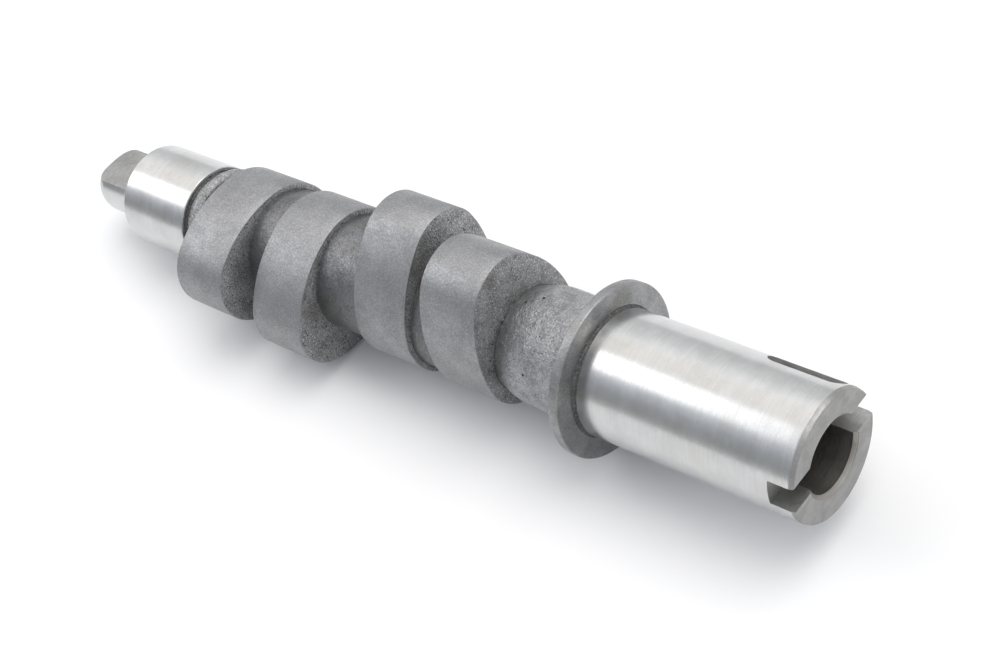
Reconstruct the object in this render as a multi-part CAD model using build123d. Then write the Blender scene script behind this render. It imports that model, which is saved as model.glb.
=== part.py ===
from build123d import *
import math
import os

# Engine camshaft, one solid.
# The shaft axis is +X, pointing at the keyed drive end; +Z is up.
# X values below are measured from the plane of the thrust face. The finished
# shaft is then moved along X, so that its origin is the middle of the main bearing.
# Angles about the axis are measured from +Y towards +Z, in degrees.

# Main journal, with the gear seat at its outer end
MAIN_JOURNAL_D = 30.0
MAIN_END_X = 56.1
MAIN_LEAD_LENGTH = 1.3
MAIN_LEAD_DEPTH = 0.3
GRIND_RELIEF_LENGTH = 2.4
GRIND_RELIEF_DEPTH = 0.2
GRIND_RELIEF_FILLET = 1.9

# Thrust flange
FLANGE_D = 41.0
FLANGE_THICKNESS = 2.4
FLANGE_CHAMFER = 0.5
FLANGE_ROOT_R = 3.0

# Cam lobes: three tangent arcs, the base circle, the flanks and the nose
BASE_R = 16.0
CAM_WIDTH = 16.5
CAM_EDGE = 0.3
INTAKE_NOSE_OFFSET = 14.1
INTAKE_NOSE_R = 11.4
INTAKE_FLANK_R = 34.5
EXHAUST_NOSE_OFFSET = 12.8
EXHAUST_NOSE_R = 11.95
EXHAUST_FLANK_R = 30.7

# Lobe layout: one intake and one exhaust lobe for each of two cylinders
FIRST_CAM_X = -32.9
BANK_OFFSET = 24.2
TAPPET_SPACING = 55.4
FIRST_CAM_ANGLE = 92.0
BANK_ANGLE = 27.0
LOBE_SEPARATION = 104.0

# Cast necks
NECK_D = 28.8
NECK_FLARE = 1.0
FRONT_NECK_D = 28.4
WAIST_D = 25.0
WAIST_LENGTH = 4.5
WAIST_FLARE = 1.4

# Collar and grinding grooves between the rear journal and the cams
COLLAR_D = 27.6
COLLAR_LENGTH = 3.4
COLLAR_CHAMFER = 1.0
GROOVE_D = 25.0
GROOVE_LENGTH = 2.4

# Rear journal
REAR_JOURNAL_D = 27.0
REAR_JOURNAL_LENGTH = 23.9
REAR_NECK_LENGTH = 9.95
JOURNAL_CHAMFER = 0.5

# Drive tang
TANG_D = 16.0
TANG_LENGTH = 18.2
TANG_FLATS = 7.6
TANG_CHAMFER = 0.8
TANG_ANGLE = 82.3

# End bore and offset cross slot
BORE_D = 17.0
BORE_DEPTH = 38.0
BORE_CHAMFER = 0.4
DRILL_POINT_ANGLE = 118.0
SLOT_WIDTH = 6.4
SLOT_DEPTH = 6.2
SLOT_OFFSET = 1.6
SLOT_ANGLE = 82.3

# Keyway in the gear seat
KEY_WIDTH = 6.0
KEY_DEPTH = 3.5
KEY_LENGTH = 18.6
KEY_END_GAP = 1.9
KEY_ANGLE = 37.5

# How far a turned piece runs into a cam, so that they join
OVERLAP = 1.0

LAST_CAM_X = FIRST_CAM_X - TAPPET_SPACING - BANK_OFFSET
REAR_JOURNAL_X = LAST_CAM_X - CAM_WIDTH / 2 - REAR_NECK_LENGTH
REAR_FACE_X = REAR_JOURNAL_X - REAR_JOURNAL_LENGTH
TANG_END_X = REAR_FACE_X - TANG_LENGTH
KEYWAY_START_X = MAIN_END_X - KEY_END_GAP - KEY_LENGTH
MAIN_BEARING_X = (GRIND_RELIEF_LENGTH + KEYWAY_START_X) / 2


def rounded_polyline(points):
    """Return a wire through (x, y, radius) corners, each rounded by its radius."""
    edges = []
    start = Vector(points[0][0], points[0][1])
    for before, corner, after in zip(points, points[1:], points[2:]):
        here = Vector(corner[0], corner[1])
        back = (Vector(before[0], before[1]) - here).normalized()
        ahead = (Vector(after[0], after[1]) - here).normalized()
        if corner[2] > 0:
            half = back.get_angle(ahead) / 2
            reach = corner[2] / math.tan(math.radians(half))
            middle = (back + ahead).normalized()
            centre = here + middle * (corner[2] / math.sin(math.radians(half)))
            arc_start = here + back * reach
            arc_end = here + ahead * reach
            edges.append(Line(start, arc_start))
            edges.append(ThreePointArc(arc_start, centre - middle * corner[2], arc_end))
            start = arc_end
        else:
            edges.append(Line(start, here))
            start = here
    last = Vector(points[-1][0], points[-1][1])
    edges.append(Line(start, last))
    edges.append(Line(last, Vector(points[0][0], points[0][1])))
    return Wire(edges)


def turned(points):
    """Turn a rounded outline of (x, radius, corner radius) about the shaft axis."""
    start = [(points[0][0], 0, 0)] if points[0][1] > 0 else []
    outline = start + points + [(points[-1][0], 0, 0)]
    return revolve(make_face(rounded_polyline(outline)), Axis.X)


def drive_end():
    """Main journal, gear seat, thrust flange and the neck behind it."""
    journal = MAIN_JOURNAL_D / 2
    relief = journal - GRIND_RELIEF_DEPTH
    flange = FLANGE_D / 2
    neck = FRONT_NECK_D / 2
    waist = WAIST_D / 2
    cam_face = FIRST_CAM_X + CAM_WIDTH / 2
    return turned([
        (cam_face - OVERLAP, waist + WAIST_FLARE, 0),
        (cam_face, waist + WAIST_FLARE, 0),
        (cam_face + WAIST_FLARE, waist, 0),
        (cam_face + WAIST_FLARE + WAIST_LENGTH, neck, WAIST_LENGTH),
        (-FLANGE_THICKNESS, neck, FLANGE_ROOT_R),
        (-FLANGE_THICKNESS, flange - FLANGE_CHAMFER, 0),
        (FLANGE_CHAMFER - FLANGE_THICKNESS, flange, 0),
        (-FLANGE_CHAMFER, flange, 0),
        (0, flange - FLANGE_CHAMFER, 0),
        (0, relief, GRIND_RELIEF_FILLET),
        (GRIND_RELIEF_LENGTH, relief, 0),
        (GRIND_RELIEF_LENGTH, journal, 0),
        (MAIN_END_X - MAIN_LEAD_LENGTH, journal, 0),
        (MAIN_END_X, journal - MAIN_LEAD_DEPTH, 0),
    ])


def rear_end():
    """Drive tang, rear journal, collar and the grooves before the last cam."""
    last_cam_face = LAST_CAM_X - CAM_WIDTH / 2
    tang = TANG_D / 2
    journal = REAR_JOURNAL_D / 2
    groove = GROOVE_D / 2
    collar = COLLAR_D / 2
    collar_start = REAR_JOURNAL_X + GROOVE_LENGTH
    collar_end = collar_start + COLLAR_LENGTH
    return turned([
        (TANG_END_X, tang - TANG_CHAMFER, 0),
        (TANG_END_X + TANG_CHAMFER, tang, 0),
        (REAR_FACE_X, tang, 0),
        (REAR_FACE_X, journal - JOURNAL_CHAMFER, 0),
        (REAR_FACE_X + JOURNAL_CHAMFER, journal, 0),
        (REAR_JOURNAL_X, journal, 0),
        (REAR_JOURNAL_X, groove, 0),
        (collar_start, groove, 0),
        (collar_start, collar - COLLAR_CHAMFER, 0),
        (collar_start + COLLAR_CHAMFER, collar, 0),
        (collar_end - COLLAR_CHAMFER, collar, 0),
        (collar_end, collar - COLLAR_CHAMFER, 0),
        (collar_end, groove, 0),
        (last_cam_face - NECK_FLARE, groove, 0),
        (last_cam_face, groove + NECK_FLARE, 0),
        (last_cam_face + OVERLAP, groove + NECK_FLARE, 0),
    ])


def neck(left, right):
    """Cast neck between two cam faces, flared at both roots."""
    radius = NECK_D / 2
    root = radius + NECK_FLARE
    return turned([
        (left - OVERLAP, root, 0),
        (left, root, 0),
        (left + NECK_FLARE, radius, 0),
        (right - NECK_FLARE, radius, 0),
        (right, root, 0),
        (right + OVERLAP, root, 0),
    ])


def outwards(angle):
    """Unit vector away from the axis at the given angle."""
    return Vector(0, math.cos(math.radians(angle)), math.sin(math.radians(angle)))


def cam_outline(nose_offset, nose_r, flank_r):
    """Cam profile in its own plane, with the nose pointing along local +X."""
    to_base = flank_r - BASE_R
    to_nose = flank_r - nose_r
    x = (to_base**2 - to_nose**2 + nose_offset**2) / (2 * nose_offset)
    y = math.sqrt(to_base**2 - x**2)
    centre = Vector(x, -y)
    nose = Vector(nose_offset, 0)
    on_base = centre.normalized() * -BASE_R
    on_nose = nose + (nose - centre).normalized() * nose_r
    flank = centre + ((on_base + on_nose) * 0.5 - centre).normalized() * flank_r
    mirrored = [Vector(point.X, -point.Y) for point in (on_base, flank, on_nose)]
    return make_face(Wire([
        ThreePointArc(on_base, flank, on_nose),
        ThreePointArc(on_nose, Vector(nose_offset + nose_r, 0), mirrored[2]),
        ThreePointArc(mirrored[2], mirrored[1], mirrored[0]),
        ThreePointArc(mirrored[0], Vector(-BASE_R, 0), on_base),
    ]))


def cam(x, angle, nose_offset, nose_r, flank_r):
    """One lobe centred at x with its nose at the given angle."""
    section = cam_outline(nose_offset, nose_r, flank_r)
    lobe = extrude(section, CAM_WIDTH / 2, both=True)
    rims = lobe.faces().filter_by(Axis.Z).edges()
    lobe = chamfer(rims, CAM_EDGE)
    return Plane(origin=(x, 0, 0), x_dir=outwards(angle), z_dir=(1, 0, 0)) * lobe


def radial_frame(x, angle):
    """Plane on the axis at x whose normal points outwards at the given angle."""
    return Plane(origin=(x, 0, 0), x_dir=(1, 0, 0), z_dir=outwards(angle))


def end_bore():
    """Blind bore from the drive end, with a chamfered mouth and a drill point."""
    radius = BORE_D / 2
    point = radius / math.tan(math.radians(DRILL_POINT_ANGLE / 2))
    return turned([
        (MAIN_END_X - BORE_DEPTH - point, 0, 0),
        (MAIN_END_X - BORE_DEPTH, radius, 0),
        (MAIN_END_X - BORE_CHAMFER, radius, 0),
        (MAIN_END_X + BORE_CHAMFER, radius + 2 * BORE_CHAMFER, 0),
    ])


def cross_slot():
    """Offset slot across the end face."""
    frame = radial_frame(MAIN_END_X, SLOT_ANGLE)
    size = (2 * SLOT_DEPTH, 2 * MAIN_JOURNAL_D, SLOT_WIDTH)
    return frame * Pos(0, 0, SLOT_OFFSET) * Box(*size)


def keyway():
    """Round-ended keyway, closed at both ends."""
    middle = KEYWAY_START_X + KEY_LENGTH / 2
    floor = MAIN_JOURNAL_D / 2 - KEY_DEPTH
    frame = radial_frame(middle, KEY_ANGLE) * Pos(0, 0, floor)
    return extrude(frame * SlotOverall(KEY_LENGTH, KEY_WIDTH), 2 * KEY_DEPTH)


def tang_flats():
    """The two blocks that leave the flats of the drive tang."""
    frame = radial_frame(TANG_END_X, TANG_ANGLE)
    shift = TANG_FLATS / 2 + TANG_D / 2
    block = Box(2 * TANG_LENGTH, 2 * TANG_D, TANG_D)
    return [frame * Pos(0, 0, side * shift) * block for side in (1, -1)]


def camshaft():
    """The whole camshaft as one solid."""
    intake = (INTAKE_NOSE_OFFSET, INTAKE_NOSE_R, INTAKE_FLANK_R)
    exhaust = (EXHAUST_NOSE_OFFSET, EXHAUST_NOSE_R, EXHAUST_FLANK_R)
    stations = []
    for row, (lobe, turn) in enumerate([(intake, 0), (exhaust, LOBE_SEPARATION)]):
        for bank in (0, 1):
            x = FIRST_CAM_X - row * TAPPET_SPACING - bank * BANK_OFFSET
            angle = FIRST_CAM_ANGLE - bank * BANK_ANGLE + turn
            stations.append((x, angle, lobe))
    half = CAM_WIDTH / 2
    body = drive_end()
    body += rear_end()
    core_length = FIRST_CAM_X - LAST_CAM_X
    core_middle = (FIRST_CAM_X + LAST_CAM_X) / 2
    body += Plane.YZ.offset(core_middle) * Cylinder(WAIST_D / 2, core_length)
    for before, after in zip(stations, stations[1:]):
        body += neck(after[0] + half, before[0] - half)
    for x, angle, lobe in stations:
        body += cam(x, angle, *lobe)
    body -= end_bore()
    body -= cross_slot()
    body -= keyway()
    for block in tang_flats():
        body -= block
    return body


os.makedirs("parts", exist_ok=True)
export_step(Pos(-MAIN_BEARING_X, 0, 0) * camshaft(), "parts/camshaft.step")
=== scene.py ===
import math

import bpy
from mathutils import Matrix, Vector


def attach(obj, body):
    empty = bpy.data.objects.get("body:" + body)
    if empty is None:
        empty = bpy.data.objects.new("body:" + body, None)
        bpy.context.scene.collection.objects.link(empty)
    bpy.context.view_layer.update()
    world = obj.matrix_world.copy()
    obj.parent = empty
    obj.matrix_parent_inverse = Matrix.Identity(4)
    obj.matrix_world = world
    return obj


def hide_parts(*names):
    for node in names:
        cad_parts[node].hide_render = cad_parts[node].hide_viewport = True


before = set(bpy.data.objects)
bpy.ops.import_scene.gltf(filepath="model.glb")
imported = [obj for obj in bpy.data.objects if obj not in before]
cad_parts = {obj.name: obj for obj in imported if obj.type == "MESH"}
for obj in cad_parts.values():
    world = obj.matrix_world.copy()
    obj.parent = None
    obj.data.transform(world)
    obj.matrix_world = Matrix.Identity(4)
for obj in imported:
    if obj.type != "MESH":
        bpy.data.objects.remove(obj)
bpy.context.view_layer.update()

# Sizes of the shaft in millimetres. X is measured from the thrust face towards
# the slotted end, and BEARING_X is where the origin lies on that scale.
# Angles are in degrees about the axis, from +Y towards +Z.
MM = 0.001
BEARING_X = 19.0

JOURNAL_R = 15.0
DRIVE_END_X = 56.1
LEAD_LENGTH = 1.3
LEAD_DEPTH = 0.3
LEAD_ROUNDING = 0.3
RELIEF_LENGTH = 1.3
RELIEF_R = 14.8
RELIEF_FILLET = 0.9

FLANGE_R = 20.5
FLANGE_THICKNESS = 2.4
FLANGE_EDGE = 0.35
FLANGE_ROOT = 3.0

BASE_R = 16.0
CAM_WIDTH = 16.5
CAM_EDGE = 0.3
# Form of a lobe: how far its nose arc is centred off the axis, then the radii of
# the nose and of the flanks
INTAKE = (14.1, 11.4, 34.5)
EXHAUST = (12.8, 11.95, 30.7)
# Name, middle along X, angle of the nose, form
CAMS = (
    ("cam_one", -32.9, 92.0, INTAKE),
    ("cam_two", -57.1, 65.0, INTAKE),
    ("cam_three", -88.3, 196.0, EXHAUST),
    ("cam_four", -112.5, 169.0, EXHAUST),
)

NECK_R = 14.4
FRONT_NECK_R = 14.2
WAIST_R = 12.5
WAIST_LENGTH = 4.5
WAIST_FLARE = 0.6
NECK_SWEEP = 2.0
# The rounded root between a neck and a cam: it starts a little inside the cam
# and stands a little above its own radius, so that the two overlap
ROOT = 0.4
ROOT_OVERLAP = 1.0
ROOT_SINK = 0.08
ROOT_RISE = 0.1

REAR_R = 13.5
REAR_START_X = -130.7
REAR_FACE_X = -154.6
CHAMFER = 0.5
GROOVE_R = 12.2
GROOVE_LENGTH = 2.4
GROOVE_ROUNDING = 0.5
REAR_NECK_R = 12.5
COLLAR_R = 13.8
COLLAR_LENGTH = 3.4
COLLAR_EDGE = 1.3

TANG_R = 8.6
TANG_END_X = -172.8
TANG_THICKNESS = 11.0
TANG_NOSE_R = 3.6
TANG_EDGE = 0.2
TANG_OVERLAP = 1
SLOT_ANGLE = 82.3

BORE_R = 8.5
BORE_DEPTH = 38.0
BORE_CHAMFER = 0.9
DRILL_POINT = 118.0
SLOT_WIDTH = 6.4
SLOT_DEPTH = 6.2
SLOT_OFFSET = 1.6
SLOT_CUTTER_LENGTH = 60.0
SLOT_FLARE = 4

KEY_ANGLE = 37.5
KEY_WIDTH = 6.0
KEY_DEPTH = 3.5
KEY_LENGTH = 18.6
KEY_END_GAP = 1.9
KEY_CUTTER_HEIGHT = 10
KEY_CUTTER_ROUND = 0.999

# Cast surfaces: (size, depth) of the lumps
CAST_LUMPS = ((1.1, 0.22), (4.5, 0.3))
NECK_LUMPS = ((1.4, 0.05), (5.0, 0.16))
LUMP_DETAIL = 2
CAST_END_GAP = 0.05
CAST_START_GAP = 0.6

# Small roundings of turned edges
EDGE_BREAK = 0.25
SOFT_EDGE = 0.1
CHAMFER_ROUNDING = 0.15
JOURNAL_BREAK = 0.2

UPRIGHT = 90
HALF_TURN = 180
SMOOTH_ANGLE = 32

# How finely the shaft is turned, and each rounding and arc is divided
AROUND = 220
CAST_STEP = 0.42
GROUND_STEP = 2.6
CORNER_STEPS = 7
FLANK_STEPS = 30
NOSE_STEPS = 60
BASE_STEPS = 90
CAM_EDGE_STEPS = 2
KEY_STEPS = 14
TANG_NOSE_STEPS = 10
TANG_EDGE_STEPS = 3

# Millimetres within which two places count as one
SAME = 0.01
SAME_CORNER = 0.005
SAME_SEAM = 0.002

# Cosine above which two directions count as aligned
ALIGNED = 0.9


def place(x, y=0.0, z=0.0):
    """Millimetres on the shaft's own scale to a point of the frame."""
    return Vector(((x - BEARING_X) * MM, y * MM, z * MM))


def outwards(angle, radius=1.0):
    """A vector away from the axis, the angle counted from +Y towards +Z."""
    turn = math.radians(angle)
    return Vector((0, radius * math.cos(turn), radius * math.sin(turn)))


def start_piece(name):
    """A new mesh object that holds one vertex, in edit mode."""
    bpy.ops.object.select_all(action="DESELECT")
    bpy.ops.mesh.primitive_plane_add(size=MM)
    piece = bpy.context.object
    piece.name = name
    bpy.ops.object.mode_set(mode="EDIT")
    bpy.ops.mesh.merge(type="CENTER")
    return piece


def finish_piece(piece):
    """Leaves edit mode with its place held in the mesh."""
    bpy.ops.object.mode_set(mode="OBJECT")
    bpy.ops.object.transform_apply(location=True, rotation=True, scale=True)
    return piece


def select_where(piece, test, mode="VERT"):
    """Selects the vertices, edges or faces whose middle passes the test."""
    bpy.ops.mesh.select_mode(type=mode)
    bpy.ops.mesh.select_all(action="DESELECT")
    bpy.ops.object.mode_set(mode="OBJECT")
    mesh = piece.data
    if mode == "VERT":
        for vertex in mesh.vertices:
            vertex.select = test(vertex.co, vertex.normal)
    elif mode == "EDGE":
        for edge in mesh.edges:
            ends = [mesh.vertices[i].co for i in edge.vertices]
            edge.select = test((ends[0] + ends[1]) / 2, ends[1] - ends[0])
    else:
        for face in mesh.polygons:
            face.select = test(face.center, face.normal)
    bpy.ops.object.mode_set(mode="EDIT")


def move_to(here, there):
    bpy.ops.transform.translate(value=there - here)


def draw_profile(piece, corners):
    """Extrudes the vertex along (x, radius, reach) corners, and rounds by the reach."""
    here = Vector((0, 0, 0))
    first = True
    for x, radius, _ in corners:
        there = place(x, 0, radius)
        if first:
            bpy.ops.mesh.select_all(action="SELECT")
            move_to(here, there)
            first = False
        else:
            bpy.ops.mesh.extrude_region_move(
                TRANSFORM_OT_translate={"value": there - here}
            )
        here = there
    for x, radius, reach in corners:
        if reach:
            corner = place(x, 0, radius)
            near = SAME_CORNER * MM
            select_where(piece, lambda co, n: (co - corner).length < near)
            bpy.ops.mesh.bevel(
                offset=reach * MM, segments=CORNER_STEPS, affect="VERTICES",
                clamp_overlap=False,
            )


def divide_runs(piece, low_x, high_x, step):
    """Cuts the profile's edges between two X values to about one step long."""
    low, high = place(low_x).x, place(high_x).x
    lengths = set()
    bpy.ops.object.mode_set(mode="OBJECT")
    mesh = piece.data
    for edge in mesh.edges:
        ends = [mesh.vertices[i].co for i in edge.vertices]
        middle = (ends[0] + ends[1]) / 2
        if low <= middle.x <= high:
            cuts = int((ends[1] - ends[0]).length / (step * MM))
            if cuts > 0:
                lengths.add(cuts)
    bpy.ops.object.mode_set(mode="EDIT")
    for cuts in sorted(lengths, reverse=True):
        def as_long(middle, along, cuts=cuts):
            return low <= middle.x <= high and int(along.length / (step * MM)) == cuts
        select_where(piece, as_long, "EDGE")
        bpy.ops.mesh.subdivide(number_cuts=cuts)


def turn_shaft():
    """The whole turned shaft, bore included, spun from one profile."""
    piece = start_piece("turned_shaft")
    last_face = CAMS[-1][1] - CAM_WIDTH / 2
    front_face = CAMS[0][1] + CAM_WIDTH / 2
    collar_x = REAR_START_X + GROOVE_LENGTH
    collar_end = collar_x + COLLAR_LENGTH
    corners = [
        (REAR_FACE_X, 0, 0),
        (REAR_FACE_X, REAR_R - CHAMFER, SOFT_EDGE),
        (REAR_FACE_X + CHAMFER, REAR_R, CHAMFER_ROUNDING),
        (REAR_START_X - JOURNAL_BREAK, REAR_R, 0),
        (REAR_START_X, REAR_R - JOURNAL_BREAK, 0),
        (REAR_START_X, GROOVE_R, GROOVE_ROUNDING),
        (collar_x, GROOVE_R, GROOVE_ROUNDING),
        (collar_x, COLLAR_R, COLLAR_EDGE),
        (collar_end, COLLAR_R, COLLAR_EDGE),
        (collar_end, REAR_NECK_R, GROOVE_ROUNDING),
        (last_face + ROOT_SINK, REAR_NECK_R, ROOT),
        (last_face + ROOT_SINK, REAR_NECK_R + ROOT + ROOT_RISE, 0),
    ]
    cams_from_rear = list(reversed(CAMS))
    for before, after in zip(cams_from_rear, cams_from_rear[1:]):
        left = before[1] + CAM_WIDTH / 2
        right = after[1] - CAM_WIDTH / 2
        inside_cam = NECK_R + ROOT + ROOT_RISE
        corners += [
            (left - ROOT_OVERLAP, inside_cam, 0),
            (left - ROOT_SINK, inside_cam, 0),
            (left - ROOT_SINK, NECK_R, ROOT),
            (right + ROOT_SINK, NECK_R, ROOT),
            (right + ROOT_SINK, inside_cam, 0),
            (right + ROOT_OVERLAP, inside_cam, 0),
        ]
    point = BORE_R / math.tan(math.radians(DRILL_POINT / 2))
    corners += [
        (front_face - ROOT_SINK, WAIST_R + WAIST_FLARE + ROOT_RISE, 0),
        (front_face - ROOT_SINK, WAIST_R, WAIST_FLARE),
        (front_face + WAIST_FLARE + WAIST_LENGTH, FRONT_NECK_R, NECK_SWEEP),
        (-FLANGE_THICKNESS, FRONT_NECK_R, FLANGE_ROOT),
        (-FLANGE_THICKNESS, FLANGE_R, FLANGE_EDGE),
        (0, FLANGE_R, FLANGE_EDGE),
        (0, RELIEF_R, RELIEF_FILLET),
        (RELIEF_LENGTH, RELIEF_R, 0),
        (RELIEF_LENGTH, JOURNAL_R, 0),
        (DRIVE_END_X - LEAD_LENGTH, JOURNAL_R, LEAD_ROUNDING),
        (DRIVE_END_X, JOURNAL_R - LEAD_DEPTH, JOURNAL_BREAK),
        (DRIVE_END_X, BORE_R + BORE_CHAMFER, 0),
        (DRIVE_END_X - BORE_CHAMFER, BORE_R, 0),
        (DRIVE_END_X - BORE_DEPTH, BORE_R, 0),
        (DRIVE_END_X - BORE_DEPTH - point, 0, 0),
    ]
    draw_profile(piece, corners)
    for left, right in cast_lengths():
        divide_runs(piece, left, right, CAST_STEP)
    divide_runs(piece, TANG_END_X, DRIVE_END_X, GROUND_STEP)
    bpy.ops.mesh.select_all(action="SELECT")
    bpy.ops.mesh.spin(
        steps=AROUND, angle=math.tau, center=(0, 0, 0), axis=(1, 0, 0)
    )
    bpy.ops.mesh.select_all(action="SELECT")
    bpy.ops.mesh.remove_doubles(threshold=SAME_SEAM * MM)
    bpy.ops.mesh.normals_make_consistent(inside=False)
    return finish_piece(piece)


def cast_lengths():
    """(left, right) of the necks between cams, the front neck and the rear one."""
    ends = []
    for before, after in zip(CAMS[1:], CAMS):
        left, right = before[1] + CAM_WIDTH / 2, after[1] - CAM_WIDTH / 2
        ends.append((left + ROOT, right - ROOT))
    front_face = CAMS[0][1] + CAM_WIDTH / 2
    ends.append((front_face + WAIST_FLARE, -FLANGE_THICKNESS + CAST_END_GAP))
    last_face = CAMS[-1][1] - CAM_WIDTH / 2
    ends.append((REAR_START_X + CAST_START_GAP, last_face - ROOT))
    return ends


def spin_arc(centre, degrees, steps):
    """Carries the selected vertex round an arc, which leaves its far end selected."""
    bpy.ops.mesh.spin(
        steps=steps, angle=math.radians(degrees), center=centre, axis=(1, 0, 0)
    )


def grind_cam(name, x, angle, form):
    """One lobe: a base circle, two flanks and a nose, each an arc about its centre."""
    nose_offset, nose_r, flank_r = form
    to_base = flank_r - BASE_R
    to_nose = flank_r - nose_r
    along = (to_base**2 - to_nose**2 + nose_offset**2) / (2 * nose_offset)
    across = math.sqrt(to_base**2 - along**2)
    lean = math.degrees(math.atan2(across, along))
    tilt = math.degrees(math.atan2(across, along - nose_offset))
    left = x - CAM_WIDTH / 2
    axis_point = place(left)
    nose = axis_point + outwards(angle, nose_offset * MM)
    flank_far = math.hypot(along, across) * MM
    flank_a = axis_point + outwards(angle - lean, flank_far)
    flank_b = axis_point + outwards(angle + lean, flank_far)
    piece = start_piece(name)
    start = axis_point + outwards(angle + HALF_TURN - lean, BASE_R * MM)
    bpy.ops.mesh.select_all(action="SELECT")
    move_to(Vector((0, 0, 0)), start)
    sweep = tilt - lean
    spin_arc(flank_a, sweep, FLANK_STEPS)
    spin_arc(nose, 2 * (HALF_TURN - tilt), NOSE_STEPS)
    spin_arc(flank_b, sweep, FLANK_STEPS)
    spin_arc(axis_point, 2 * lean, BASE_STEPS)
    bpy.ops.mesh.select_all(action="SELECT")
    bpy.ops.mesh.remove_doubles(threshold=SAME * MM)
    bpy.ops.mesh.edge_face_add()
    bpy.ops.mesh.extrude_region_move(
        TRANSFORM_OT_translate={"value": (CAM_WIDTH * MM, 0, 0)}
    )
    bpy.ops.mesh.select_all(action="SELECT")
    bpy.ops.mesh.normals_make_consistent(inside=False)
    select_where(piece, lambda co, along: abs(along.x) < SAME * MM, "EDGE")
    bpy.ops.mesh.bevel(
        offset=CAM_EDGE * MM, segments=CAM_EDGE_STEPS, affect="EDGES"
    )
    return finish_piece(piece)


def block(name, middle, size, angle):
    """A box whose own Z points outwards at the angle."""
    bpy.ops.object.select_all(action="DESELECT")
    bpy.ops.mesh.primitive_cube_add(size=1)
    piece = bpy.context.object
    piece.name = name
    piece.scale = [edge * MM for edge in size]
    piece.rotation_euler = (math.radians(angle - UPRIGHT), 0, 0)
    piece.location = middle
    bpy.ops.object.transform_apply(location=True, rotation=True, scale=True)
    return piece


def key_cutter():
    """The round-ended tool that leaves the keyway."""
    middle_x = DRIVE_END_X - KEY_END_GAP - KEY_LENGTH / 2
    centre_r = JOURNAL_R - KEY_DEPTH + KEY_CUTTER_HEIGHT / 2
    centre = place(middle_x) + outwards(KEY_ANGLE, centre_r * MM)
    size = (KEY_LENGTH, KEY_WIDTH, KEY_CUTTER_HEIGHT)
    piece = block("key_cutter", centre, size, KEY_ANGLE)
    bpy.ops.object.mode_set(mode="EDIT")
    out = outwards(KEY_ANGLE)
    select_where(
        piece,
        lambda middle, along: abs(along.normalized().dot(out)) > ALIGNED,
        "EDGE",
    )
    bpy.ops.mesh.bevel(
        offset=KEY_WIDTH / 2 * MM * KEY_CUTTER_ROUND, segments=KEY_STEPS,
        affect="EDGES",
    )
    return finish_piece(piece)


def combine(target, tool, operation):
    """Joins or cuts the target with the tool, and drops the tool."""
    bpy.ops.object.select_all(action="DESELECT")
    bpy.context.view_layer.objects.active = target
    target.select_set(True)
    change = target.modifiers.new("combine", "BOOLEAN")
    change.operation = operation
    change.object = tool
    change.solver = "EXACT"
    bpy.ops.object.modifier_apply(modifier=change.name)
    bpy.data.objects.remove(tool)


def slot_cutter():
    """The tool that leaves the cross slot, flared at its mouth for the broken edges."""
    size = (2 * SLOT_DEPTH, SLOT_CUTTER_LENGTH, SLOT_WIDTH)
    piece = block("slot_cutter", place(DRIVE_END_X), size, UPRIGHT)
    bpy.ops.object.mode_set(mode="EDIT")
    for edge_x in (DRIVE_END_X - EDGE_BREAK, DRIVE_END_X + EDGE_BREAK):
        bpy.ops.mesh.select_all(action="SELECT")
        bpy.ops.mesh.bisect(plane_co=place(edge_x), plane_no=(1, 0, 0))
    mouth = place(DRIVE_END_X).x
    select_where(piece, lambda co, n: co.x > mouth)
    flare = 1 + SLOT_FLARE * EDGE_BREAK / SLOT_WIDTH
    bpy.ops.transform.resize(value=(1, 1, flare), center_override=place(DRIVE_END_X))
    bpy.ops.object.mode_set(mode="OBJECT")
    piece.rotation_euler = (math.radians(SLOT_ANGLE - UPRIGHT), 0, 0)
    piece.location = outwards(SLOT_ANGLE, SLOT_OFFSET * MM)
    bpy.ops.object.transform_apply(location=True, rotation=True, scale=True)
    return piece


def mill_tang():
    """The round end with a rounded nose and two flats, let into the journal."""
    length = REAR_FACE_X - TANG_END_X + TANG_OVERLAP
    middle = place(TANG_END_X + length / 2)
    size = (length, 2 * TANG_R, TANG_THICKNESS)
    piece = block("drive_tang", middle, size, UPRIGHT)
    bpy.ops.object.select_all(action="DESELECT")
    bpy.ops.mesh.primitive_cylinder_add(
        vertices=AROUND, radius=TANG_R * MM, depth=length * MM,
        location=middle, rotation=(0, math.pi / 2, 0),
    )
    stub = bpy.context.object
    bpy.ops.object.transform_apply(location=True, rotation=True, scale=True)
    bpy.ops.object.mode_set(mode="EDIT")
    end = place(TANG_END_X).x
    select_where(stub, lambda co, along: abs(co.x - end) < SAME * MM, "EDGE")
    bpy.ops.mesh.bevel(
        offset=TANG_NOSE_R * MM, segments=TANG_NOSE_STEPS, affect="EDGES"
    )
    finish_piece(stub)
    combine(piece, stub, "INTERSECT")
    bpy.ops.object.select_all(action="DESELECT")
    piece.select_set(True)
    bpy.context.view_layer.objects.active = piece
    change = piece.modifiers.new("edge", "BEVEL")
    change.width = TANG_EDGE * MM
    change.segments = TANG_EDGE_STEPS
    change.limit_method = "ANGLE"
    change.angle_limit = math.radians(SMOOTH_ANGLE)
    bpy.ops.object.modifier_apply(modifier=change.name)
    piece.rotation_euler = (math.radians(SLOT_ANGLE - UPRIGHT), 0, 0)
    bpy.ops.object.transform_apply(location=True, rotation=True, scale=True)
    return piece


def in_lengths(co, lengths):
    """Whether a place lies inside one of the (left, right) stretches."""
    x = co.x / MM + BEARING_X
    return any(left < x < right for left, right in lengths)


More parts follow.
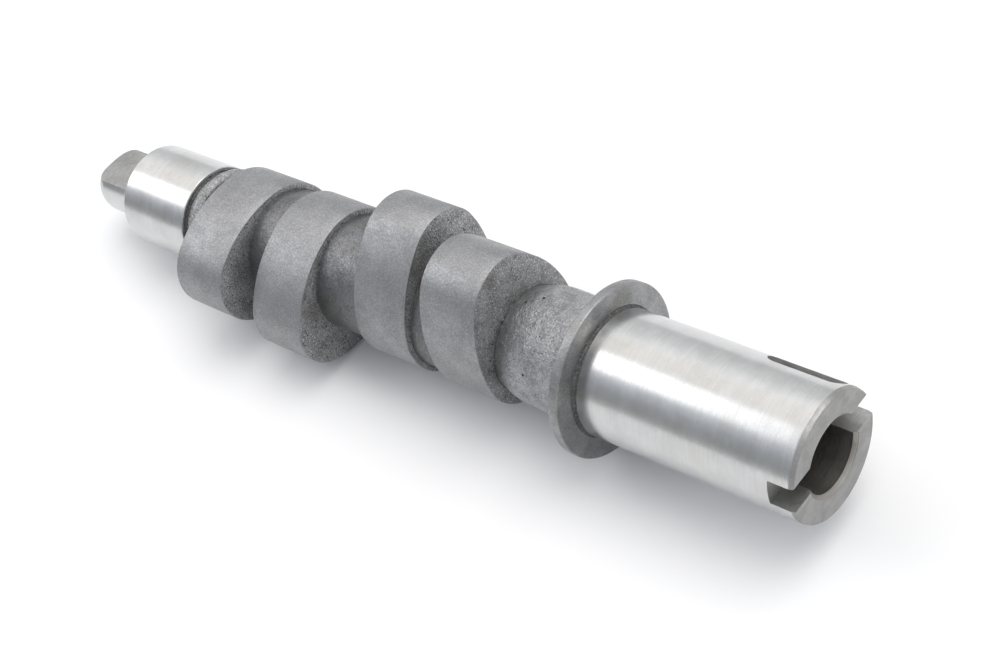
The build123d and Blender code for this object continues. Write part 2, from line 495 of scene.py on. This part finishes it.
def roughen(piece, lengths, size, depth):
    """Presses the lumps of a sand casting into some lengths of the shaft."""
    bpy.ops.object.mode_set(mode="EDIT")
    select_where(
        piece, lambda co, n: in_lengths(co, lengths) and co.yz.length > BORE_R * MM
    )
    bpy.ops.object.vertex_group_assign_new()
    bpy.ops.object.mode_set(mode="OBJECT")
    lumps = bpy.data.textures.new("cast_lumps", type="CLOUDS")
    lumps.noise_scale = size * MM
    lumps.noise_depth = LUMP_DETAIL
    change = piece.modifiers.new("roughen", "DISPLACE")
    change.texture = lumps
    change.texture_coords = "LOCAL"
    change.vertex_group = piece.vertex_groups[0].name
    change.strength = depth * MM
    change.mid_level = 0.5
    bpy.ops.object.modifier_apply(modifier=change.name)
    bpy.ops.object.vertex_group_remove(all=True)


def build_camshaft():
    """The finished shaft, in the order that a shop would work it."""
    shaft = turn_shaft()
    lengths = cast_lengths()
    inner_necks, outer_necks = lengths[:-2], lengths[-2:]
    for size, depth in CAST_LUMPS:
        roughen(shaft, outer_necks, size, depth)
    for size, depth in NECK_LUMPS:
        roughen(shaft, inner_necks, size, depth)
    for name, x, angle, form in CAMS:
        combine(shaft, grind_cam(name, x, angle, form), "UNION")
    combine(shaft, slot_cutter(), "DIFFERENCE")
    combine(shaft, key_cutter(), "DIFFERENCE")
    combine(shaft, mill_tang(), "UNION")
    shaft.name = "camshaft_finished"
    return shaft


# Node helpers

# Where a mix node keeps its factor and its two colours, and gives their blend
MIX_COLOUR_INPUTS = (0, 6, 7)
MIX_COLOUR_OUTPUT = 2


def feed(tree, socket, value):
    """Joins another socket, or sets a number, a vector or a colour."""
    if isinstance(value, bpy.types.NodeSocket):
        tree.links.new(value, socket)
    elif socket.type == "RGBA":
        socket.default_value = (*value, 1)
    else:
        socket.default_value = value


def add_node(tree, kind, values=None, **settings):
    node = tree.nodes.new(kind)
    for name, setting in settings.items():
        setattr(node, name, setting)
    for name, value in (values or {}).items():
        feed(tree, node.inputs[name], value)
    return node


def blend(tree, factor, low, high):
    """A colour between low and high."""
    mix = add_node(tree, "ShaderNodeMix", data_type="RGBA")
    for socket, value in zip(MIX_COLOUR_INPUTS, (factor, low, high)):
        feed(tree, mix.inputs[socket], value)
    return mix.outputs[MIX_COLOUR_OUTPUT]


def calculate(tree, operation, *values):
    node = add_node(tree, "ShaderNodeMath", operation=operation)
    for socket, value in zip(node.inputs, values):
        feed(tree, socket, value)
    return node.outputs[0]


def share_of(tree, value, share):
    return calculate(tree, "MULTIPLY", value, share)


def add_share(tree, value, share, to):
    """Adds a share of one value to another."""
    return calculate(tree, "MULTIPLY_ADD", value, share, to)


def ramp(tree, value, start=0.0, end=1.0, low=0.0, high=1.0):
    """Carries a value from start..end to low..high, smoothly and clamped."""
    values = {"Value": value, "From Min": start, "From Max": end,
              "To Min": low, "To Max": high}
    node = add_node(tree, "ShaderNodeMapRange", values, interpolation_type="SMOOTHSTEP")
    return node.outputs[0]


def stretch(tree, vector, per_mm):
    """Object coordinates counted in marks, so many to the millimetre along X, Y, Z."""
    scale = [count / MM for count in per_mm]
    node = add_node(tree, "ShaderNodeMapping", {"Vector": vector, "Scale": scale})
    return node.outputs[0]


def noise(tree, here, per_mm, detail=2.0, roughness=0.5):
    values = {"Vector": stretch(tree, here, per_mm), "Scale": 1.0, "Detail": detail,
              "Roughness": roughness}
    return add_node(tree, "ShaderNodeTexNoise", values).outputs[0]


def cells(tree, here, per_mm):
    values = {"Vector": stretch(tree, here, per_mm), "Scale": 1.0}
    return add_node(tree, "ShaderNodeTexVoronoi", values).outputs


def start_group(name, inputs, outputs):
    """A node group with named sockets: its tree, what it is given, what it leaves."""
    tree = bpy.data.node_groups.new(name, "ShaderNodeTree")
    for label, kind, value in inputs:
        socket = tree.interface.new_socket(label, in_out="INPUT", socket_type=kind)
        if value is not None:
            socket.default_value = value
    for label, kind in outputs:
        tree.interface.new_socket(label, in_out="OUTPUT", socket_type=kind)
    entry = tree.nodes.new("NodeGroupInput")
    leave = tree.nodes.new("NodeGroupOutput")
    return tree, entry.outputs, leave.inputs


# Shared effects. A pattern is given as how many of its marks a millimetre holds
# along X, Y and Z, and a ramp as where it starts and ends.

FLOAT = "NodeSocketFloat"
COLOUR = "NodeSocketColor"
VECTOR = "NodeSocketVector"


def make_running_marks():
    """Marks that run round the shaft, from the wheel or the tool."""
    inputs = [("Place", VECTOR, None), ("Fineness", FLOAT, 1.0)]
    outputs = [("Height", FLOAT), ("Mask", FLOAT)]
    tree, given, leave = start_group("running_marks", inputs, outputs)
    scaled = add_node(tree, "ShaderNodeVectorMath", {"Vector": given["Place"]},
                      operation="SCALE")
    feed(tree, scaled.inputs["Scale"], given["Fineness"])
    here = scaled.outputs[0]
    fine = noise(tree, here, per_mm=(9.0, 0.12, 0.12), detail=3.0, roughness=0.6)
    broad = noise(tree, here, per_mm=(1.3, 0.08, 0.08))
    feed(tree, leave["Height"], add_share(tree, broad, share=0.6, to=fine))
    feed(tree, leave["Mask"], ramp(tree, fine, start=0.35, end=0.65))
    return tree


def make_mottling():
    """Soft clouds and fine speckle, each with its own weight."""
    inputs = [("Place", VECTOR, None), ("Dark", COLOUR, None), ("Light", COLOUR, None),
              ("Cloud", FLOAT, 1.0), ("Speckle", FLOAT, 0.3)]
    outputs = [("Colour", COLOUR), ("Mask", FLOAT)]
    tree, given, leave = start_group("mottling", inputs, outputs)
    here = given["Place"]
    blotch = noise(tree, here, per_mm=(0.22, 0.22, 0.22), detail=4.0, roughness=0.6)
    grain = noise(tree, here, per_mm=(2.2, 2.2, 2.2), detail=3.0, roughness=0.7)
    cloud = share_of(tree, ramp(tree, blotch, start=0.32, end=0.68), given["Cloud"])
    speck = share_of(tree, ramp(tree, grain, start=0.4, end=0.66), given["Speckle"])
    both = calculate(tree, "ADD", cloud, speck)
    total = calculate(tree, "MINIMUM", both, 1.0)
    feed(tree, leave["Colour"], blend(tree, total, given["Dark"], given["Light"]))
    feed(tree, leave["Mask"], total)
    return tree


def make_cast_grain():
    """Sand grain of the casting: sharp small bumps, and hollows where sand stuck."""
    inputs = [("Place", VECTOR, None)]
    outputs = [("Height", FLOAT), ("Hollows", FLOAT), ("Peaks", FLOAT)]
    tree, given, leave = start_group("cast_grain", inputs, outputs)
    here = given["Place"]
    small = noise(tree, here, per_mm=(2.4, 2.4, 2.4), detail=3.0, roughness=0.65)
    lumps = noise(tree, here, per_mm=(0.8, 0.8, 0.8), detail=3.0, roughness=0.6)
    holes = cells(tree, here, per_mm=(1.5, 1.5, 1.5))["Distance"]
    hollow = ramp(tree, holes, start=0.1, end=0.42)
    bumps = add_share(tree, lumps, share=1.3, to=small)
    height = add_share(tree, hollow, share=0.25, to=bumps)
    feed(tree, leave["Height"], height)
    feed(tree, leave["Hollows"], ramp(tree, height, start=1.25, end=0.95))
    feed(tree, leave["Peaks"], ramp(tree, small, start=0.52, end=0.68))
    return tree


def make_stains():
    """Thin oil stain, here and there."""
    inputs = [("Place", VECTOR, None), ("Clean", COLOUR, None), ("Stain", COLOUR, None),
              ("Amount", FLOAT, 0.5)]
    outputs = [("Colour", COLOUR), ("Mask", FLOAT)]
    tree, given, leave = start_group("oil_stains", inputs, outputs)
    blot = noise(tree, given["Place"], per_mm=(0.09, 0.09, 0.09), detail=5.0,
                 roughness=0.62)
    mask = share_of(tree, ramp(tree, blot, start=0.5, end=0.72), given["Amount"])
    feed(tree, leave["Colour"], blend(tree, mask, given["Clean"], given["Stain"]))
    feed(tree, leave["Mask"], mask)
    return tree


def make_pits():
    """A few small sand holes that the wheel has opened; their near-black colour is
    painted shade inside the holes.
    """
    inputs = [("Place", VECTOR, None), ("Clean", COLOUR, None)]
    outputs = [("Colour", COLOUR), ("Depth", FLOAT)]
    tree, given, leave = start_group("sand_pits", inputs, outputs)
    found = cells(tree, given["Place"], per_mm=(0.3, 0.3, 0.3))
    near = ramp(tree, found["Distance"], start=0.14, end=0.06)
    chosen = add_node(tree, "ShaderNodeSeparateColor", {"Color": found["Color"]})
    rare = ramp(tree, chosen.outputs[0], start=0.86, end=0.88)
    hole = calculate(tree, "MULTIPLY", near, rare)
    feed(tree, leave["Colour"], blend(tree, hole, given["Clean"], PIT_SHADE_COLOUR))
    feed(tree, leave["Depth"], calculate(tree, "SUBTRACT", 1.0, hole))
    return tree


# Near-black: painted shade inside the sand holes
PIT_SHADE_COLOUR = (0.03, 0.03, 0.03)
RUNNING_MARKS = make_running_marks()
MOTTLING = make_mottling()
CAST_GRAIN = make_cast_grain()
OIL_STAINS = make_stains()
SAND_PITS = make_pits()


def use_group(tree, group, values):
    """Places a group with its values, and gives its outputs."""
    node = add_node(tree, "ShaderNodeGroup", node_tree=group)
    for name, value in values.items():
        feed(tree, node.inputs[name], value)
    return node.outputs


def start_material(name, metallic, roughness):
    """A material with its shader and the object coordinates."""
    material = bpy.data.materials.new(name)
    material.use_nodes = True
    tree = material.node_tree
    shader = tree.nodes["Principled BSDF"].inputs
    shader["Metallic"].default_value = metallic
    shader["Roughness"].default_value = roughness
    coordinates = tree.nodes.new("ShaderNodeTexCoord")
    return material, tree, shader, coordinates.outputs["Object"]


def raise_surface(tree, shader, height, depth):
    """Bump of a real depth in millimetres."""
    values = {"Height": height, "Distance": depth * MM, "Strength": 1.0}
    bump = add_node(tree, "ShaderNodeBump", values)
    feed(tree, shader["Normal"], bump.outputs["Normal"])


def ground_steel():
    """Ground and polished journals."""
    material, tree, shader, here = start_material(
        "ground_journal", metallic=1.0, roughness=0.2)
    marks = use_group(tree, RUNNING_MARKS, {"Place": here, "Fineness": 1.0})
    tone = use_group(tree, MOTTLING, {
        "Place": here, "Dark": (0.56, 0.565, 0.56), "Light": (0.64, 0.645, 0.645),
        "Speckle": 0.2})
    lined = blend(tree, share_of(tree, marks["Mask"], 0.5), tone["Colour"],
                  (0.52, 0.525, 0.525))
    stained = use_group(tree, OIL_STAINS, {
        "Place": here, "Clean": lined, "Stain": (0.52, 0.5, 0.44), "Amount": 0.35})
    feed(tree, shader["Base Color"], stained["Colour"])
    feed(tree, shader["Roughness"],
         ramp(tree, marks["Height"], start=0.5, end=1.1, low=0.17, high=0.27))
    raise_surface(tree, shader, marks["Height"], depth=0.004)
    return material


def lobe_surface():
    """Lobes, ground and then darkened by a coating."""
    material, tree, shader, here = start_material(
        "cam_lobe", metallic=1.0, roughness=0.4)
    marks = use_group(tree, RUNNING_MARKS, {"Place": here, "Fineness": 0.6})
    tone = use_group(tree, MOTTLING, {
        "Place": here, "Dark": (0.25, 0.253, 0.261), "Light": (0.38, 0.385, 0.4),
        "Cloud": 0.4, "Speckle": 0.75})
    lined = blend(tree, share_of(tree, marks["Mask"], 0.3), tone["Colour"],
                  (0.28, 0.283, 0.29))
    stained = use_group(tree, OIL_STAINS, {
        "Place": here, "Clean": lined, "Stain": (0.3, 0.3, 0.27), "Amount": 0.25})
    feed(tree, shader["Base Color"], stained["Colour"])
    feed(tree, shader["Roughness"], ramp(tree, tone["Mask"], low=0.56, high=0.46))
    grain = use_group(tree, CAST_GRAIN, {"Place": here})
    height = add_share(tree, grain["Height"], share=0.9, to=marks["Height"])
    raise_surface(tree, shader, height, depth=0.04)
    return material


def lifted(colour, lift):
    """A colour made lighter or darker as a whole."""
    return [lift * shade for shade in colour]


def cast_surface(name, lift, dull):
    """Sand-cast skin: lift is for its tone, dull is added to its roughness."""
    material, tree, shader, here = start_material(
        name, metallic=0.8, roughness=0.5)
    grain = use_group(tree, CAST_GRAIN, {"Place": here})
    tone = use_group(tree, MOTTLING, {
        "Place": here, "Dark": lifted((0.12, 0.122, 0.122), lift),
        "Light": lifted((0.25, 0.253, 0.26), lift), "Cloud": 0.5, "Speckle": 0.6})
    # The hollows of the grain darkened towards black: painted shade in the hollows
    shaded_hollows = blend(tree, grain["Hollows"], tone["Colour"], (0.03, 0.03, 0.028))
    rubbed = blend(tree, share_of(tree, grain["Peaks"], 0.65), shaded_hollows,
                   lifted((0.5, 0.5, 0.51), lift))
    stained = use_group(tree, OIL_STAINS, {
        "Place": here, "Clean": rubbed, "Stain": (0.11, 0.105, 0.085), "Amount": 0.6})
    feed(tree, shader["Base Color"], stained["Colour"])
    feed(tree, shader["Roughness"],
         ramp(tree, grain["Peaks"], low=0.55 + dull, high=0.36 + dull))
    raise_surface(tree, shader, grain["Height"], depth=0.16)
    return material


def neck_surface(name, lift, depth):
    """Cast necks, rubbed smoother than the skin: lift is for tone, depth for grain."""
    material, tree, shader, here = start_material(
        name, metallic=1.0, roughness=0.5)
    dark = lifted((0.16, 0.162, 0.168), lift)
    light = lifted((0.29, 0.295, 0.305), lift)
    grain = use_group(tree, CAST_GRAIN, {"Place": here})
    tone = use_group(tree, MOTTLING, {
        "Place": here, "Dark": dark, "Light": light, "Cloud": 0.55, "Speckle": 0.7})
    # The hollows of the grain darkened: painted shade in the hollows
    shaded_hollows = blend(tree, share_of(tree, grain["Hollows"], 0.55), tone["Colour"],
                   (0.05, 0.05, 0.05))
    pitted = use_group(tree, SAND_PITS, {"Place": here, "Clean": shaded_hollows})
    stained = use_group(tree, OIL_STAINS, {
        "Place": here, "Clean": pitted["Colour"], "Stain": (0.17, 0.165, 0.14),
        "Amount": 0.5})
    feed(tree, shader["Base Color"], stained["Colour"])
    feed(tree, shader["Roughness"], ramp(tree, tone["Mask"], low=0.54, high=0.42))
    height = add_share(tree, pitted["Depth"], share=2.0, to=grain["Height"])
    raise_surface(tree, shader, height, depth)
    return material


def turned_surface():
    """The flange, as the lathe left it."""
    material, tree, shader, here = start_material(
        "turned_flange", metallic=1.0, roughness=0.4)
    marks = use_group(tree, RUNNING_MARKS, {"Place": here, "Fineness": 0.8})
    tone = use_group(tree, MOTTLING, {
        "Place": here, "Dark": (0.23, 0.233, 0.235), "Light": (0.36, 0.365, 0.37),
        "Cloud": 0.6, "Speckle": 0.5})
    stained = use_group(tree, OIL_STAINS, {
        "Place": here, "Clean": tone["Colour"], "Stain": (0.2, 0.19, 0.15),
        "Amount": 0.6})
    feed(tree, shader["Base Color"], stained["Colour"])
    feed(tree, shader["Roughness"], ramp(tree, tone["Mask"], low=0.54, high=0.42))
    raise_surface(tree, shader, marks["Height"], depth=0.015)
    return material


def milled_surface():
    """End faces, slot, keyway and flats, scored by the cutter."""
    material, tree, shader, here = start_material(
        "milled_end", metallic=1.0, roughness=0.42)
    tone = use_group(tree, MOTTLING, {
        "Place": here, "Dark": (0.29, 0.29, 0.285), "Light": (0.37, 0.37, 0.365),
        "Speckle": 0.3})
    lines = noise(tree, here, per_mm=(1.2, 0.25, 6.0), detail=3.0, roughness=0.6)
    score = ramp(tree, lines, start=0.4, end=0.7, high=0.22)
    scored = blend(tree, score, tone["Colour"], (0.25, 0.247, 0.24))
    feed(tree, shader["Base Color"], scored)
    feed(tree, shader["Roughness"],
         ramp(tree, lines, start=0.3, end=0.7, low=0.44, high=0.58))
    raise_surface(tree, shader, lines, depth=0.01)
    return material


def bore_surface():
    """The drilled bore, stained brown by old oil."""
    material, tree, shader, here = start_material(
        "drilled_bore", metallic=1.0, roughness=0.45)
    marks = use_group(tree, RUNNING_MARKS, {"Place": here, "Fineness": 0.5})
    stained = use_group(tree, OIL_STAINS, {
        "Place": here, "Clean": (0.36, 0.35, 0.335), "Stain": (0.17, 0.14, 0.105),
        "Amount": 1.0})
    lined = blend(tree, share_of(tree, marks["Mask"], 0.5), stained["Colour"],
                  (0.18, 0.165, 0.14))
    feed(tree, shader["Base Color"], lined)
    feed(tree, shader["Roughness"],
         ramp(tree, marks["Height"], start=0.5, end=1.1, low=0.38, high=0.52))
    raise_surface(tree, shader, marks["Height"], depth=0.03)
    return material


# Places on the shaft. A face is judged by its middle: how far that may lie past
# an edge, and then how far below the surface it belongs to
HAIR = 0.01
SLIGHT = 0.02
SLACK = 0.05
NEAR = 0.3
BEYOND = 1.0
LOBE_DEPTH = 0.6
JOURNAL_DEPTH = 0.35
REAR_DEPTH = 0.6
TANG_DEPTH = 0.2
FLANGE_DEPTH = 0.4
FLANGE_BACK_GAP = 0.2
BORE_GAP = 0.2
CUT_START_X = 2.0
# How far from the rear journal the painted shade in the groove reaches
SHADE_REACH = 0.7
# How much of a face's direction lies along another one
LEANING = 0.1
MOSTLY = 0.6
STEEP = 0.8
SIDEWAYS = 0.95
SQUARE_ON = 0.99


def radius_of(co):
    return co.yz.length / MM


def between(co, start, end):
    """Whether a place lies between two X values of the shaft's own scale."""
    return start <= co.x / MM + BEARING_X <= end


def is_lobe(co, n):
    for _, x, _, _ in CAMS:
        half = CAM_WIDTH / 2 - HAIR
        if between(co, x - half, x + half) and abs(n.x) < SIDEWAYS:
            return radius_of(co) > BASE_R - LOBE_DEPTH
    return False


def is_inner_neck(co, n):
    inner_necks = cast_lengths()[:-2]
    return in_lengths(co, inner_necks) and radius_of(co) < NECK_R + ROOT / 4


def is_front_neck(co, n):
    front_neck = cast_lengths()[-2:-1]
    low = radius_of(co) < FRONT_NECK_R + BEYOND
    return in_lengths(co, front_neck) and abs(n.x) < STEEP and low


def is_corner(co, n):
    """Where painted shade darkens the cast skin: the roots beside the cams, the groove
    by the rear journal, the flange's root.
    """
    radius = radius_of(co)
    groove = between(co, REAR_START_X, REAR_START_X + SHADE_REACH)
    front_face = CAMS[0][1] + CAM_WIDTH / 2
    waist = between(co, front_face - ROOT_SINK, front_face + WAIST_FLARE)
    flange = between(co, SLIGHT, RELIEF_FILLET) and radius < RELIEF_R + RELIEF_FILLET
    roots = any(
        between(co, edge - ROOT, edge + ROOT)
        for _, x, _, _ in CAMS
        for edge in (x - CAM_WIDTH / 2, x + CAM_WIDTH / 2)
    )
    low = radius < NECK_R + ROOT + ROOT_RISE and abs(n.x) < SQUARE_ON
    return flange or (radius < REAR_R - NEAR and groove) or (low and (waist or roots))


def is_ground(co, n):
    radius = radius_of(co)
    main = between(co, RELIEF_LENGTH - NEAR, DRIVE_END_X - LEAD_LENGTH)
    rear = between(co, REAR_FACE_X + SLACK, REAR_START_X + HAIR)
    tang = between(co, TANG_END_X + SLACK, REAR_FACE_X - NEAR)
    return (
        (main and radius > JOURNAL_R - JOURNAL_DEPTH)
        or (rear and radius > REAR_R - REAR_DEPTH)
        or (tang and radius > TANG_R - TANG_DEPTH)
    )


def is_flange(co, n):
    wide = between(co, -FLANGE_THICKNESS + FLANGE_BACK_GAP, RELIEF_LENGTH)
    return wide and radius_of(co) > JOURNAL_R - FLANGE_DEPTH


def is_bore(co, n):
    return between(co, 0, DRIVE_END_X - HAIR) and radius_of(co) < BORE_R + BORE_CHAMFER


def is_milled(co, n):
    """The end face with its lead, the tang, and the walls of the slot and keyway."""
    past_end = DRIVE_END_X + BEYOND
    across = abs(n.dot(outwards(SLOT_ANGLE)))
    face = between(co, DRIVE_END_X - LEAD_LENGTH, past_end) and n.x > LEANING
    tang = between(co, TANG_END_X - BEYOND, REAR_FACE_X + SLACK)
    slot = between(co, DRIVE_END_X - SLOT_DEPTH - SLACK, past_end)
    cut = between(co, CUT_START_X, DRIVE_END_X)
    low = BORE_R + BORE_GAP < radius_of(co) < JOURNAL_R - JOURNAL_DEPTH
    return face or tang or (slot and max(across, n.x) > MOSTLY) or (cut and low)


def finish_surfaces(shaft):
    """Gives each face its finish; a later one wins over those before it."""
    finishes = (
        (cast_surface("cast_skin", lift=1.5, dull=0.0), lambda co, n: True),
        (neck_surface("rubbed_neck", lift=0.85, depth=0.07), is_inner_neck),
        (neck_surface("front_neck", lift=1.5, depth=0.22), is_front_neck),
        (lobe_surface(), is_lobe),
        (turned_surface(), is_flange),
        # A darker copy of the cast skin: painted shade in the roots beside the cams,
        # the rear groove and the flange's root
        (cast_surface("painted_shade_corner", lift=0.6, dull=0.15), is_corner),
        (milled_surface(), is_milled),
        (bore_surface(), is_bore),
        (ground_steel(), is_ground),
    )
    bpy.ops.object.select_all(action="DESELECT")
    bpy.context.view_layer.objects.active = shaft
    shaft.select_set(True)
    shaft.data.materials.clear()
    bpy.ops.object.mode_set(mode="EDIT")
    for number, (material, test) in enumerate(finishes):
        shaft.data.materials.append(material)
        shaft.active_material_index = number
        select_where(shaft, test, "FACE")
        bpy.ops.object.material_slot_assign()
    bpy.ops.object.mode_set(mode="OBJECT")
    bpy.ops.object.shade_smooth_by_angle(angle=math.radians(SMOOTH_ANGLE))


camshaft = build_camshaft()
finish_surfaces(camshaft)
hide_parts("camshaft")
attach(camshaft, "root")


# Floor, light and camera

# The flange's rim and the last cam touch the floor, which slopes to meet both
FLOOR_SLOPE = 0.038
FLOOR_TOUCH = place(-1.9, 0, -FLANGE_R)
FLOOR_SIZE = 6
FLOOR_COLOUR = (0.79, 0.797, 0.81)


def table_surface():
    material, tree, shader, _ = start_material(
        "pale_table", metallic=0.0, roughness=0.6)
    feed(tree, shader["Base Color"], FLOOR_COLOUR)
    return material


def add_floor():
    bpy.ops.object.select_all(action="DESELECT")
    bpy.ops.mesh.primitive_plane_add(size=FLOOR_SIZE)
    floor = bpy.context.object
    floor.name = "floor"
    floor.rotation_euler = (0, math.atan(FLOOR_SLOPE), 0)
    floor.location = FLOOR_TOUCH
    floor.data.materials.append(table_surface())


def toward(azimuth, elevation):
    """Unit vector to a place in the room, azimuth from +X towards +Y."""
    turn, rise = math.radians(azimuth), math.radians(elevation)
    return Vector((math.cos(rise) * math.cos(turn), math.cos(rise) * math.sin(turn),
                   math.sin(rise)))


# The room as the shaft sees it, by the angle about the shaft's axis, which
# counts from the far side (0) over the top (90) to the near side (180)
ROOM_STRENGTH = 0.82
ROOM = (
    (0, (0.84, 0.86, 0.87)),
    (36, (1.2, 1.21, 1.22)),
    (53, (1.58, 1.57, 1.58)),
    (67, (1.55, 1.48, 1.42)),
    (84, (1.46, 1.43, 1.4)),
    (131, (0.92, 0.95, 1.02)),
    (147, (0.58, 0.6, 0.64)),
    (165, (0.45, 0.465, 0.48)),
    (180, (0.7, 0.71, 0.72)),
)
# A long strip light over the rear half, between these angles about the axis: it
# grows from STRIP_FROM to STRIP_FULL and fades from STRIP_WANE to STRIP_TO
STRIP_FROM, STRIP_FULL, STRIP_WANE, STRIP_TO = 88, 97, 118, 130
STRIP_COLOUR = (1.0, 1.0, 1.0)
STRIP_STRENGTH = 2.4
STRIP_REACH = (-0.42, -0.56)
# The key light is full within KEY_CORE degrees of its middle and gone at KEY_RIM
KEY_TOWARD = toward(azimuth=56, elevation=66)
KEY_CORE, KEY_RIM = 12, 28
KEY_COLOUR = (1.0, 0.985, 0.95)
KEY_STRENGTH = 3.4


def make_room_light():
    """Adds a masked light to the colour of the room."""
    inputs = [("Mask", FLOAT, 0.0), ("Under", COLOUR, None), ("Light", COLOUR, None),
              ("Strength", FLOAT, 1.0)]
    tree, given, leave = start_group("room_light", inputs, [("Colour", COLOUR)])
    power = calculate(tree, "MULTIPLY", given["Mask"], given["Strength"])
    scaled = add_node(tree, "ShaderNodeVectorMath", operation="SCALE")
    feed(tree, scaled.inputs[0], given["Light"])
    feed(tree, scaled.inputs["Scale"], power)
    total = add_node(tree, "ShaderNodeVectorMath", operation="ADD")
    feed(tree, total.inputs[0], given["Under"])
    feed(tree, total.inputs[1], scaled.outputs[0])
    feed(tree, leave["Colour"], total.outputs[0])
    return tree


def add_world():
    """A pale room that darkens on the near side, a long strip light and a key light."""
    world = bpy.data.worlds.new("studio")
    bpy.context.scene.world = world
    world.use_nodes = True
    tree = world.node_tree
    direction = tree.nodes.new("ShaderNodeTexCoord").outputs["Generated"]
    split = add_node(tree, "ShaderNodeSeparateXYZ", {"Vector": direction}).outputs
    angle = calculate(tree, "ARCTAN2", split["Z"], split["Y"])
    around = calculate(tree, "MULTIPLY", angle, 1 / math.pi)
    room = add_node(tree, "ShaderNodeValToRGB", {"Fac": around})
    stops = room.color_ramp.elements
    while len(stops) < len(ROOM):
        stops.new(0.5)
    for stop, (place_degrees, colour) in zip(stops, ROOM):
        stop.position = place_degrees / HALF_TURN
        stop.color = (*colour, 1)
    degrees = calculate(tree, "MULTIPLY", around, HALF_TURN)
    up = ramp(tree, degrees, STRIP_FROM, STRIP_FULL)
    down = ramp(tree, degrees, STRIP_TO, STRIP_WANE)
    reach = ramp(tree, split["X"], *STRIP_REACH)
    strip = calculate(tree, "MULTIPLY", calculate(tree, "MULTIPLY", up, down), reach)
    group = make_room_light()
    with_strip = use_group(tree, group, {
        "Mask": strip, "Under": room.outputs["Color"], "Light": STRIP_COLOUR,
        "Strength": STRIP_STRENGTH})["Colour"]
    facing = add_node(tree, "ShaderNodeVectorMath", operation="DOT_PRODUCT")
    feed(tree, facing.inputs[0], direction)
    feed(tree, facing.inputs[1], KEY_TOWARD)
    rim, core = [math.cos(math.radians(edge)) for edge in (KEY_RIM, KEY_CORE)]
    key = ramp(tree, facing.outputs["Value"], rim, core)
    with_key = use_group(tree, group, {
        "Mask": key, "Under": with_strip, "Light": KEY_COLOUR,
        "Strength": KEY_STRENGTH})["Colour"]
    background = tree.nodes["Background"].inputs
    feed(tree, background["Color"], with_key)
    background["Strength"].default_value = ROOM_STRENGTH


CAMERA_PLACE = Vector((0.1983, -0.1473, 0.3108))
CAMERA_RIGHT = Vector((0.75178, 0.56525, -0.33963))
CAMERA_UP = Vector((-0.29731, 0.75023, 0.59058))
CAMERA_LENS = 66.4
CAMERA_SENSOR = 36
CAMERA_NEAREST = 0.01


def add_camera():
    data = bpy.data.cameras.new("camera")
    camera = bpy.data.objects.new("camera", data)
    bpy.context.scene.collection.objects.link(camera)
    right = CAMERA_RIGHT.normalized()
    back = right.cross(CAMERA_UP).normalized()
    up = back.cross(right)
    turn = Matrix((right, up, back)).transposed().to_4x4()
    camera.matrix_world = Matrix.Translation(CAMERA_PLACE) @ turn
    data.lens = CAMERA_LENS
    data.sensor_width = CAMERA_SENSOR
    data.clip_start = CAMERA_NEAREST
    bpy.context.scene.camera = camera


add_floor()
add_world()
add_camera()
bpy.context.scene.view_settings.view_transform = "Standard"
